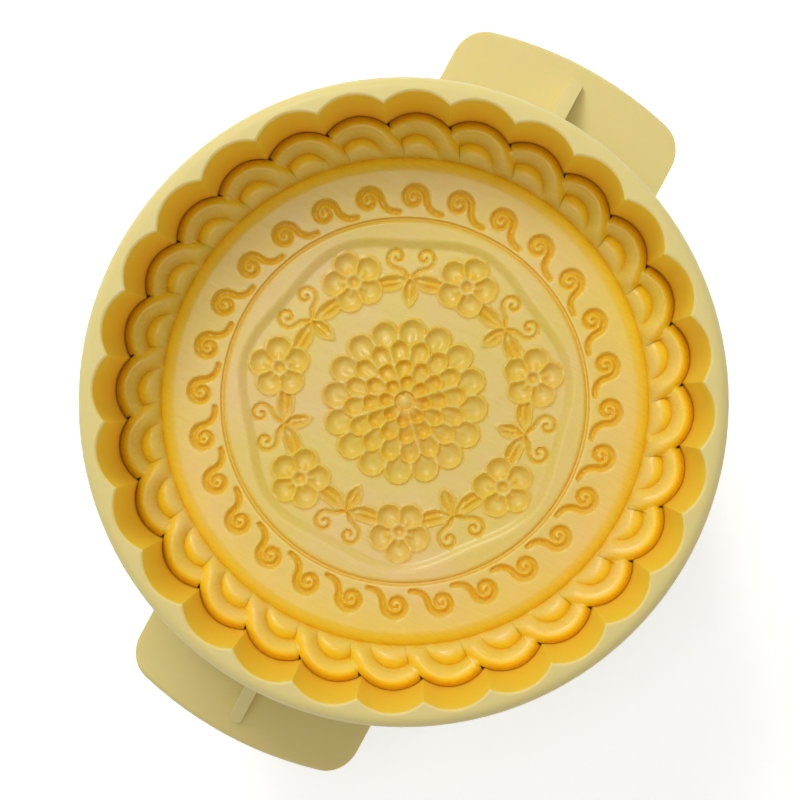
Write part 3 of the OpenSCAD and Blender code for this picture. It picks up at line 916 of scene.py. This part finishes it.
@dataclass
class Stamp:
    """The patterned plate with its fluted outline, scaled border, shouldered field, pegs and air vents."""

    flutes: int = 28
    flute_ring: float = 67.8
    scale_r: float = 12.05
    scale_tip: float = 0.9
    scale_foot_w: float = 4.0
    ridge_w: float = 5.8
    ridge_h: float = 2.2
    dome_h: float = 2.2
    bore_r: float = 80.0
    border_rise: float = 3.0
    foot_ring: float = 67.9
    # Height over which one scale's edge melts into the next
    lap_blend: float = 0.12
    corner_rings: tuple[float, ...] = (0.35, 0.7, 1.0)
    valley_rings: int = 3
    ridge_rings: int = 14
    outline_points: int = 20
    shoulder_w: float = 4.0
    shoulder_h: float = 1.8
    shoulder_rings: int = 12
    shoulder_points: int = 24
    web: float = 6.2
    cell: float = 0.43
    # The plate's side leans in to its back
    back_share: float = 1 - 0.5 / 79
    peg_r: float = 4.5
    peg_l: float = 7.0
    peg_ring: float = 52.0
    peg_sink: float = 0.3
    pegs: int = 4
    peg_sides: int = 40
    vent_r: float = 0.55
    vent_sides: int = 16
    vents: tuple[tuple[float, float], ...] = (
        (35.5, 26.5), (1.5, 44.5), (33.5, -1.0), (29.0, -38.0), (-26.5, 17.0), (-39.0, -11.5), (-10.5, -38.5),
    )
    pattern: FieldPattern = field(default_factory=FieldPattern)

    def __post_init__(self) -> None:
        """Reads the plate's height from the frame and works out the sizes that follow."""
        low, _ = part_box("stamp_plate")
        self.back_z = low.z / MM + self.peg_l
        self.field_z = self.back_z + self.web
        self.foot_z = self.field_z - self.shoulder_h
        self.field_r = self.flute_ring - self.shoulder_w
        self.step = TURN / self.flutes
        self.crest_r = self.scale_r - self.ridge_w / 2
        self.pitch = 2 * self.flute_ring * math.sin(self.step / 2)

    # Border

    def scale_height(self, d: np.ndarray) -> np.ndarray:
        """Height of a scale: a dome inside a round ridge.

        Args:
            d: Distances from the scale's middle.

        Returns:
            Heights over the border's slope.
        """
        ridge = 1 - ((d - self.crest_r) / (self.ridge_w / 2)) ** 2
        dome = 1 - (d / (self.scale_r - self.ridge_w)) ** 3
        return np.where(ridge > 0, self.ridge_h * ridge, np.maximum(self.dome_h * dome, 0))

    def scale_z(self, r: np.ndarray, a: np.ndarray, k: np.ndarray) -> tuple[np.ndarray, np.ndarray]:
        """Height of scale k, tipped up on its clockwise side.

        Args:
            r: Distances from the axis.
            a: Angles about it.
            k: Number of the scale.

        Returns:
            Heights, and distances from the scale's middle.
        """
        turn = a - k * self.step
        d = np.hypot(r * np.cos(turn) - self.flute_ring, r * np.sin(turn))
        return self.scale_height(d) - self.scale_tip * np.sin(turn) * r / self.scale_r, d

    def border_z(self, r: np.ndarray, a: np.ndarray) -> np.ndarray:
        """Height of the border's face: each scale laps over the next one clockwise.

        Args:
            r: Distances from the axis.
            a: Angles about it.

        Returns:
            Heights in the frame.
        """
        k = np.ceil(a / self.step - 0.001)
        over, d = self.scale_z(r, a, k)
        under, _ = self.scale_z(r, a, k - 1)
        # The lap's inner corner is as round as the cutter
        gap = np.clip(1 - np.abs(over - under) / self.lap_blend, 0, 1)
        merged = np.maximum(over, under) + self.lap_blend * gap * gap / 4
        face = np.where(d < self.crest_r, over, np.where(d < self.scale_r + 0.01, merged, under))
        out = np.clip((r - self.flute_ring) / self.scale_foot_w, 0, 1)
        rise = self.border_rise * (r - self.flute_ring) / (self.bore_r - self.flute_ring)
        return self.foot_z + rise + face * (1 - (1 - out) ** 2)

    def foot_turn(self, d: np.ndarray | float) -> np.ndarray:
        """Turn about a scale's middle at which a ring of radius d crosses the foot circle."""
        return np.arccos((self.foot_ring**2 - self.flute_ring**2 - d**2) / (2 * self.flute_ring * d))

    def lap_turn(self, d: np.ndarray | float) -> np.ndarray:
        """Turn at which a ring of radius d runs in under the next scale's edge."""
        cosine = (d**2 + self.pitch**2 - self.scale_r**2) / (2 * d * self.pitch)
        return math.pi / 2 + self.step / 2 - np.arccos(np.clip(cosine, -1, 1))

    def leg_turn(self, d: np.ndarray | float) -> np.ndarray:
        """Turn at which a scale's edge crosses a ring of radius d of the scale before."""
        cosine = (self.scale_r**2 + self.pitch**2 - d**2) / (2 * self.scale_r * self.pitch)
        return np.arccos(np.clip(cosine, -1, 1)) - math.pi / 2 - self.step / 2

    def scale_rings(self) -> np.ndarray:
        """Radii of the rings that a scale's mesh follows, close together on its ridge.

        Returns:
            The radii, of which the first few lie inside the scale before.
        """
        foot_leg = -float(self.foot_turn(self.scale_r))
        x = self.flute_ring + self.scale_r * math.cos(foot_leg)
        y = self.scale_r * math.sin(foot_leg)
        angle = math.atan2(y, x) + self.step
        reach = math.hypot(x, y)
        corner = math.hypot(reach * math.cos(angle) - self.flute_ring, reach * math.sin(angle))
        valley = max(self.scale_r - self.ridge_w, corner + 0.15 * (self.scale_r - corner))
        steps = np.arange(1, self.ridge_rings + 1) / self.ridge_rings
        ridge = valley + (self.scale_r - valley) * (1 - np.cos(math.pi * steps)) / 2
        dome = np.linspace(corner, valley, self.valley_rings + 1)[1:]
        return np.concatenate([corner * np.array(self.corner_rings), dome, ridge])

    def add_border(self, draft: MeshDraft) -> tuple[list[int], list[int]]:
        """Adds the scaled border, whose mesh follows each scale's own rings.

        Args:
            draft: The mesh that takes it.

        Returns:
            The numbers of its points along the foot circle and along the plate's edge.
        """
        rings = self.scale_rings()
        whole = len(self.corner_rings)
        last = len(rings) - 1
        legs = last + 1 - whole
        # One column for each ring of the scale before, from its corner ring on, then the free outline
        cusp = float(self.leg_turn(self.scale_r))
        outline = cusp * (1 - 2 * np.arange(1, self.outline_points + 1) / self.outline_points)
        turns = np.concatenate([self.leg_turn(rings[whole:]), outline])
        share = (turns - turns[0]) / (turns[-1] - turns[0])
        cols = len(turns) - 1
        each = whole * (cols + 1) + legs * cols
        parts = []
        for k in range(self.flutes):
            for j, d in enumerate(rings):
                start = -float(self.foot_turn(d))
                end = float(self.foot_turn(d) if j < whole else self.lap_turn(d))
                turn = (start + share * (end - start))[: cols + (j < whole)]
                px, py = self.flute_ring + d * np.cos(turn), d * np.sin(turn)
                parts.append(np.stack([np.hypot(px, py), np.arctan2(py, px) + k * self.step]))
        r, a = np.concatenate(parts, axis=1)
        first = draft.add_points(ring_points(r, a, self.border_z(r, a)))

        def number(k: int, j: int, i: int) -> int:
            """Number of point i on ring j of scale k; outer rings end on the next scale's edge."""
            k %= self.flutes
            if j < whole:
                return first + k * each + j * (cols + 1) + i
            if i == cols:
                return number(k + 1, last, j - whole)
            return first + k * each + whole * (cols + 1) + (j - whole) * cols + i

        foot, edge = [], []
        for k in range(self.flutes):
            for j in range(last):
                for i in range(cols):
                    corners = ((j, i), (j + 1, i), (j + 1, i + 1), (j, i + 1))
                    draft.faces.append(tuple(number(k, *corner) for corner in corners))
            # The innermost ring closes in a fan
            draft.faces += [(number(k, 0, 0), number(k, 0, i), number(k, 0, i + 1)) for i in range(1, cols)]
            foot += [number(k, j, 0) for j in range(last, -1, -1)]
            foot += [number(k, j, cols) for j in range(whole - 1)]
            edge += [number(k, last, i) for i in range(legs - 1, cols)]
        return foot, edge

    # Plate

    def add_field(self, draft: MeshDraft) -> list[int]:
        """Adds the field with its pattern and the round shoulder by which it falls to the border.

        Args:
            draft: The mesh that takes them.

        Returns:
            The numbers of the points of the outermost ring.
        """
        middle = np.zeros(1)
        ring = draft.add_ring(ring_points(0.0, middle, self.field_z - self.pattern.depth(middle, middle)))
        count = int(self.field_r / self.cell)
        for r in np.arange(1, count + 1) * self.field_r / count:
            a = even_angles(max(6, round(TURN * r / self.cell)))
            height = self.field_z - self.pattern.depth(r * np.cos(a), r * np.sin(a))
            now = draft.add_ring(ring_points(r, a, height))
            if len(ring) > 1:
                draft.zip_even(ring, now)
            else:
                draft.faces += [(ring[0], now[i - 1], now[i]) for i in range(1, len(now))]
                draft.faces.append((ring[0], now[-1], now[0]))
            ring = now
        a = even_angles(self.flutes * self.shoulder_points)
        for share in np.arange(1, self.shoulder_rings + 1) / self.shoulder_rings:
            r = self.field_r + self.shoulder_w * share
            now = draft.add_ring(ring_points(r, a, self.foot_z + self.shoulder_h * (1 - share**2)))
            draft.zip_even(ring, now)
            ring = now
        return ring

    def build(self) -> bpy.types.Object:
        """Builds the plate as one mesh.

        Returns:
            The plate.
        """
        draft = MeshDraft()
        shoulder = self.add_field(draft)
        foot, edge = self.add_border(draft)
        # Both rings start at the same angle
        points = np.concatenate(draft.points)
        foot_angle = np.arctan2(points[foot, 1], points[foot, 0]) % TURN
        turn = int(np.argmin(np.minimum(foot_angle, TURN - foot_angle)))
        draft.zip_uneven(shoulder, foot[turn:] + foot[:turn])
        rim = points[edge]
        rim[:, :2] *= self.back_share
        rim[:, 2] = self.back_z
        back = draft.add_ring(rim)
        draft.wall(edge, back)
        draft.faces.append(tuple(reversed(back)))
        piece = draft.build("stamp_face", 40)
        self.cut(piece)
        return piece

    @staticmethod
    def rods(
        name: str,
        spots: tuple[tuple[float, float], ...],
        radius: float,
        sides: int,
        ends: tuple[float, float],
    ) -> bpy.types.Object:
        """Makes upright rods as one tool object.

        Args:
            name: The tool's name.
            spots: Where each rod stands.
            radius: The rods' radius.
            sides: Number of sides of each.
            ends: Heights of their feet and tops.

        Returns:
            The tool.
        """
        draft = MeshDraft()
        for x, y in spots:
            disc = ring_points(radius, even_angles(sides), 0.0)
            low, high = (draft.add_ring(disc + np.array([x, y, z])) for z in ends)
            draft.wall(high, low)
            draft.faces += [tuple(reversed(low)), tuple(high)]
        return draft.build(name)

    def cut(self, piece: bpy.types.Object) -> None:
        """Asks for the vents' cut and the pegs' union, and leaves the result as the piece's own mesh.

        Blender refuses both so far, so the plate shows neither: the border's foot ring passes by the
        end of each scale's corner ring, which leaves an open sliver there.

        Args:
            piece: The plate.
        """
        ends = (self.back_z - 1, self.field_z + 1)
        vents = self.rods("vent_tool", self.vents, self.vent_r, self.vent_sides, ends)
        ends = (self.back_z - self.peg_l, self.back_z + self.peg_sink)
        spots = ring_points(self.peg_ring, even_angles(self.pegs) + math.pi / self.pegs, 0.0)[:, :2]
        pegs = self.rods("peg_tool", tuple(map(tuple, spots)), self.peg_r, self.peg_sides, ends)
        for tool, operation in ((vents, "DIFFERENCE"), (pegs, "UNION")):
            change = piece.modifiers.new(operation.lower(), "BOOLEAN")
            change.object = tool
            change.operation = operation
            change.solver = "MANIFOLD"
        shape = bpy.data.meshes.new_from_object(piece.evaluated_get(bpy.context.evaluated_depsgraph_get()))
        piece.modifiers.clear()
        piece.data = shape
        for tool in (vents, pegs):
            bpy.data.objects.remove(tool)

    def make(self, finish: bpy.types.Material) -> None:
        """Builds the stamp and puts it in the CAD plate's place.

        Args:
            finish: Its material.
        """
        piece = self.build()
        dress(piece, finish)
        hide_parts("stamp_plate")
        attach(piece, Body.STAMP.value)
        LOG.info("stamp_face: %d faces", len(piece.data.polygons))


# ---------- Spring ----------


@dataclass
class ReturnSpring:
    """The compression spring round the stem, with its end turns wound flat, and its two washers."""

    coil_r: float = 24.2
    wire_r: float = 1.45
    turns: float = 6.5
    flat_turns: float = 0.9
    end_climb: float = 3.5
    rings_a_turn: int = 56
    sides: int = 14
    closed_share: float = 0.37
    washers: tuple[str, ...] = ("spring_washer_barrel", "spring_washer_handle")

    def build(self) -> bpy.types.Object:
        """Builds the coil as one tube along its helix.

        Returns:
            The coil.
        """
        low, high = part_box("return_spring")
        z0, z1 = low.z / MM + self.wire_r, high.z / MM - self.wire_r
        t = np.linspace(0, self.turns, round(self.turns * self.rings_a_turn) + 1)
        # The end turns climb slowly, those between make up the rest
        flat = self.flat_turns * self.end_climb
        bends = (0.0, self.flat_turns, self.turns - self.flat_turns, self.turns)
        heights = np.interp(t, bends, (z0, z0 + flat, z1 - flat, z1))
        draft = MeshDraft()
        round_about = even_angles(self.sides)
        for angle, height in zip(TURN * t, heights):
            r = self.coil_r + self.wire_r * np.cos(round_about)
            z = height + self.wire_r * np.sin(round_about)
            draft.add_points(np.stack([r * math.cos(angle), r * math.sin(angle), z], axis=-1))
        for i in range(len(t) - 1):
            for s in range(self.sides):
                n = (s + 1) % self.sides
                p, q = i * self.sides, (i + 1) * self.sides
                draft.faces.append((p + s, q + s, q + n, p + n))
        draft.faces.append(tuple(range(self.sides)))
        draft.faces.append(tuple(range(draft.count - 1, draft.count - 1 - self.sides, -1)))
        return draft.build("spring_coil", 50)

    def make(self, nodes: Nodes, wire: bpy.types.Material, zinc: bpy.types.Material) -> None:
        """Builds the coil, hangs it on the barrel, and dresses the washers.

        Args:
            nodes: The CAD nodes by name.
            wire: The coil's material.
            zinc: The washers' material.
        """
        coil = self.build()
        dress(coil, wire)
        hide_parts("return_spring")
        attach(coil, Body.BARREL.value)
        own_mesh(coil)
        for name in self.washers:
            dress(nodes[name], zinc)
        LOG.info("spring_coil: %d faces, with two washers", len(coil.data.polygons))


# ---------- Carried-over pieces ----------


@dataclass
class CarriedAssembly:
    """A sub-assembly that keeps its CAD meshes."""

    plastic_nodes: tuple[str, ...] = ()
    steel_nodes: tuple[str, ...] = ()

    def make(self, nodes: Nodes, plastic: bpy.types.Material, zinc: bpy.types.Material) -> None:
        """Dresses its pieces.

        Args:
            nodes: The CAD nodes by name.
            plastic: Material of its mouldings.
            zinc: Material of its fasteners.
        """
        for names, finish in ((self.plastic_nodes, plastic), (self.steel_nodes, zinc)):
            for name in names:
                dress(nodes[name], finish)
                LOG.info("%s: dressed", name)


@dataclass
class Barrel(CarriedAssembly):
    """The fluted barrel with its lip, ears and guide collar."""

    plastic_nodes: tuple[str, ...] = ("barrel",)


@dataclass
class Plunger(CarriedAssembly):
    """The plunger's disc and stem with the screws between them."""

    plastic_nodes: tuple[str, ...] = ("plunger_disc", "plunger_stem")
    steel_nodes: tuple[str, ...] = ("disc_screws",)


@dataclass
class PalmHandle(CarriedAssembly):
    """The round handle with its cap, screws and washers."""

    plastic_nodes: tuple[str, ...] = ("handle_body", "handle_cap")
    steel_nodes: tuple[str, ...] = ("handle_screws", "handle_screw_washers")


# ---------- Studio ----------


@dataclass(frozen=True)
class SoftBox:
    """A square soft box: where it hangs and its side, in metres, and its power, in watts."""

    name: str
    place: tuple[float, float, float]
    size: float
    power: float

    def hang(self, mouth_z: float) -> None:
        """Hangs it so that it looks at the mouth of the press.

        Args:
            mouth_z: The mouth's height, in metres.
        """
        data = bpy.data.lights.new(self.name, "AREA")
        data.shape = "SQUARE"
        data.size = self.size
        data.energy = self.power
        lamp = bpy.data.objects.new(self.name, data)
        lamp.location = self.place
        aim = Vector((0, 0, mouth_z)) - Vector(self.place)
        lamp.rotation_euler = aim.to_track_quat("-Z", "Y").to_euler()
        bpy.context.scene.collection.objects.link(lamp)


@dataclass
class Studio:
    """Floor, light and camera of the photograph."""

    eye_h: float = 0.45
    frame_w: float = 0.2052
    sensor_mm: float = 36.0
    roll_deg: float = -61.7
    aside: tuple[float, float] = (0.00395, -0.00332)
    shift: tuple[float, float] = (-0.0278, -0.0066)
    floor_r: float = 4.0
    floor_sides: int = 64
    # The floor lies a hair under the press so that the two don't share a face
    floor_gap_mm: float = 0.05
    floor_glow: float = 0.5
    # Light from straight above and from the horizon, paler there as between studio walls
    sky_light: float = 0.2
    wall_light: float = 1.3
    wall_top: float = 0.45
    backdrop: float = 1.0
    # The photograph's light comes from its upper left, well above the mouth
    lamps: tuple[SoftBox, ...] = (
        SoftBox("key_box", (0.437, 0.546, 0.98), 0.40, 6.2),
        SoftBox("top_box", (0.02, 0.10, 1.3), 0.5, 3.4),
    )

    def __post_init__(self) -> None:
        """Reads the mouth's height from the frame."""
        self.mouth_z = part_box("barrel")[1].z

    @staticmethod
    def seen(tree: Tree) -> Socket:
        """Says whether a ray is seen straight, in a reflection or through something.

        Args:
            tree: The node tree of the floor or the world.

        Returns:
            1 for such a ray and 0 for one that only lights.
        """
        path = add_node(tree, "LightPath")
        seen = path.outputs["Is Camera Ray"]
        for kind in ("Glossy", "Transmission"):
            both = {0: seen, 1: path.outputs[f"Is {kind} Ray"]}
            seen = add_node(tree, "Math", both, operation="MAXIMUM").outputs["Value"]
        return seen

    def floor(self) -> None:
        """Lays a white floor that keeps the press's shadow."""
        draft = MeshDraft()
        ring = ring_points(self.floor_r / MM, even_angles(self.floor_sides), -self.floor_gap_mm)
        draft.faces.append(tuple(draft.add_ring(ring)))
        floor = draft.build("floor")
        material, tree = new_material("white_studio_paper")
        paper = add_node(tree, "BsdfDiffuse", {"Color": linear("F4F4F2")}).outputs["BSDF"]
        glow = add_node(tree, "Emission", {"Color": (1, 1, 1, 1), "Strength": self.floor_glow})
        both = add_node(tree, "AddShader", {0: paper, 1: glow.outputs["Emission"]}).outputs["Shader"]
        pick = add_node(tree, "MixShader", {0: self.seen(tree), 1: paper, 2: both})
        add_node(tree, "OutputMaterial", {"Surface": pick.outputs["Shader"]})
        dress(floor, material)

    def light(self) -> None:
        """Sets a plain sky, paler towards the horizon, and hangs the soft boxes."""
        world = bpy.data.worlds.new("soft_sky")
        world.use_nodes = True
        tree = world.node_tree
        tree.nodes.clear()
        way = add_node(tree, "SeparateXYZ", {"Vector": add_node(tree, "TexCoord").outputs["Generated"]})
        span = {"From Max": self.wall_top, "To Min": self.wall_light, "To Max": self.sky_light}
        light = add_node(tree, "MapRange", {"Value": way.outputs["Z"], **span}).outputs["Result"]
        sky, backdrop = (
            add_node(tree, "Background", {"Color": (1, 1, 1, 1), "Strength": strength}).outputs["Background"]
            for strength in (light, self.backdrop)
        )
        pick = add_node(tree, "MixShader", {0: self.seen(tree), 1: sky, 2: backdrop})
        add_node(tree, "OutputWorld", {"Surface": pick.outputs["Shader"]})
        bpy.context.scene.world = world
        for lamp in self.lamps:
            lamp.hang(self.mouth_z)

    def camera(self) -> None:
        """Hangs the camera over the mouth as in the photograph."""
        data = bpy.data.cameras.new("camera")
        data.sensor_width = self.sensor_mm
        data.lens = self.sensor_mm * self.eye_h / self.frame_w
        data.shift_x, data.shift_y = self.shift
        data.clip_start, data.clip_end = 0.01, 20.0
        camera = bpy.data.objects.new("camera", data)
        camera.location = (*self.aside, self.mouth_z + self.eye_h)
        camera.rotation_euler = (0, 0, math.radians(self.roll_deg))
        bpy.context.scene.collection.objects.link(camera)
        bpy.context.scene.camera = camera

    def make(self) -> None:
        """Sets up the whole studio."""
        self.floor()
        self.light()
        self.camera()
        bpy.context.scene.view_settings.view_transform = "Standard"
        LOG.info("studio: floor, lamps and camera")


def main() -> None:
    """Builds the looks of the press round its frame."""
    logging.basicConfig(level=logging.INFO, format="%(name)s: %(message)s")
    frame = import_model()
    nodes = frame["nodes"]

    # Satin mouldings, creamy outside, with painted shade in the bore: a deeper yellow, warmer towards the
    # stamp
    cream, amber = "E1D18A", "FAC808"
    barrel_plastic = MouldedPlastic(
        name="cream_abs_spark_eroded",
        colour=cream,
        deep=amber,
        bore_shade=PaintedBoreShade(),
    ).build()
    plunger_plastic = MouldedPlastic(name="cream_abs_plunger", colour=cream, deep=amber).build()
    handle_plastic = MouldedPlastic(name="cream_abs_handle", colour=cream, deep=amber).build()
    # A glossier cut face, with painted amber shade in its hollows and a partly painted pink sheen in its slow
    # clouds
    stamp_plastic = MachinedPlastic(
        name="cream_abs_ball_milled", colour="E0CB6A", tone_and_sheen="E2C884", deep="F2D01C", groove="E8B014"
    ).build()
    # Dull grey plate on the fasteners, brighter drawn wire in the spring
    zinc = SteelFinish("zinc_plated_steel", "C4C8CC", "CFCCBE", 0.34, 0.2).build()
    wire = SteelFinish("drawn_spring_wire", "C6C8CA", "B6B8BB", 0.26, 0.12).build()

    Studio().make()
    Barrel().make(nodes, barrel_plastic, zinc)
    Stamp().make(stamp_plastic)
    Plunger().make(nodes, plunger_plastic, zinc)
    ReturnSpring().make(nodes, wire, zinc)
    PalmHandle().make(nodes, handle_plastic, zinc)


if __name__ == "__main__":
    main()
